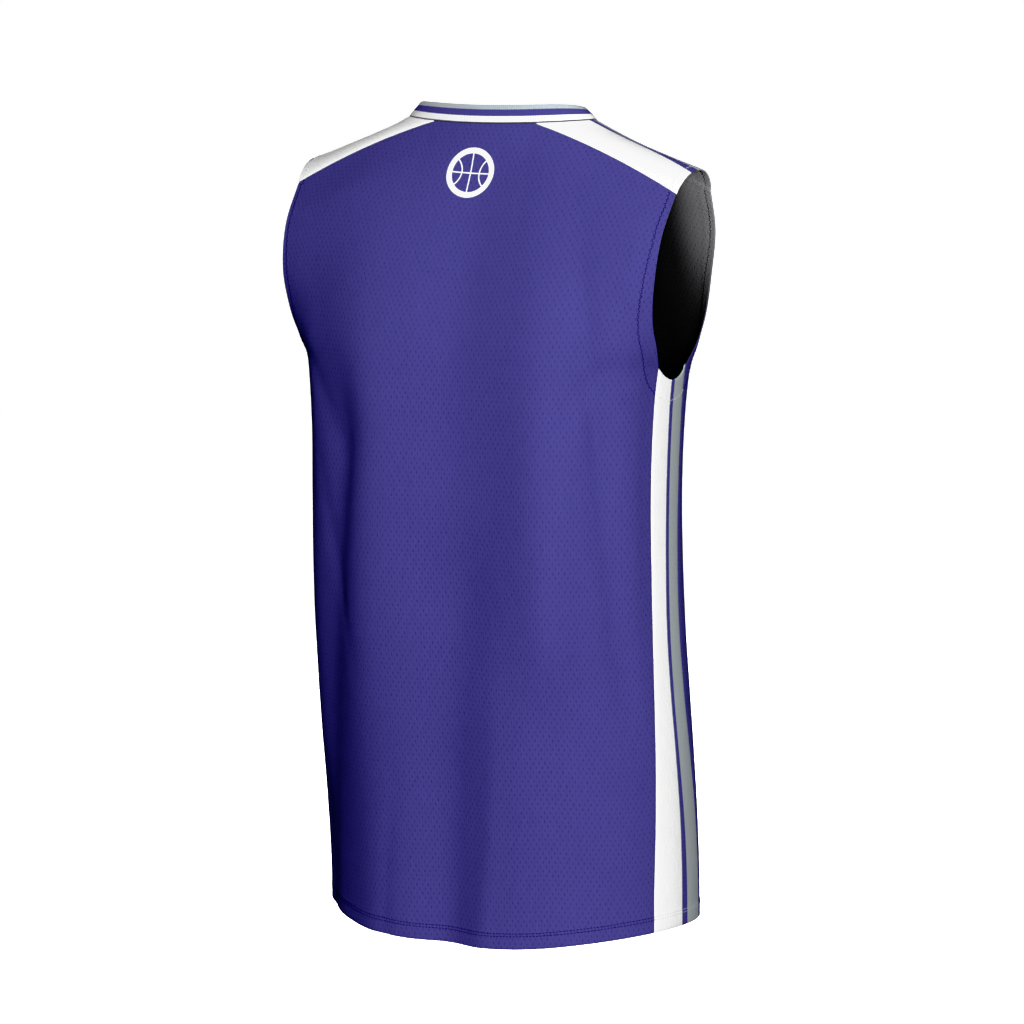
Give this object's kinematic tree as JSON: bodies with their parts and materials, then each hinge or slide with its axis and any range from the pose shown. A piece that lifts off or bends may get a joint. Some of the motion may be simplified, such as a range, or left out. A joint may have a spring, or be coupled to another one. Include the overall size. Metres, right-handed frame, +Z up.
{
  "type": "basketball jersey",
  "caption": "Sleeveless basketball jersey of knitted mesh, filled out as if worn, with striped side and shoulder panels and a striped neckband.",
  "frame": {"origin": "on the centre line, at the height where the shoulders meet the neckband, which is where the wearer's shoulders carry the jersey", "axes": "+Z up, +X towards the wearer's left, the front faces -Y and the back +Y"},
  "size_m": [0.4034, 0.2904, 0.7609],
  "materials": {
    "body_mesh": "matt violet-blue knitted mesh with small eyelets in staggered rows",
    "panel_mesh": "matt white knitted mesh with a grey half and a thin violet-blue stripe between them",
    "neckband_knit": "matt flat knit in white, violet-blue and grey stripes"
  },
  "bodies": {
    "root": {"back": "body_mesh", "front": "body_mesh", "side_panel_left": "panel_mesh", "side_panel_right": "panel_mesh", "shoulder_panel_left": "panel_mesh", "shoulder_panel_right": "panel_mesh", "collar": "neckband_knit"}
  },
  "joints": []
}
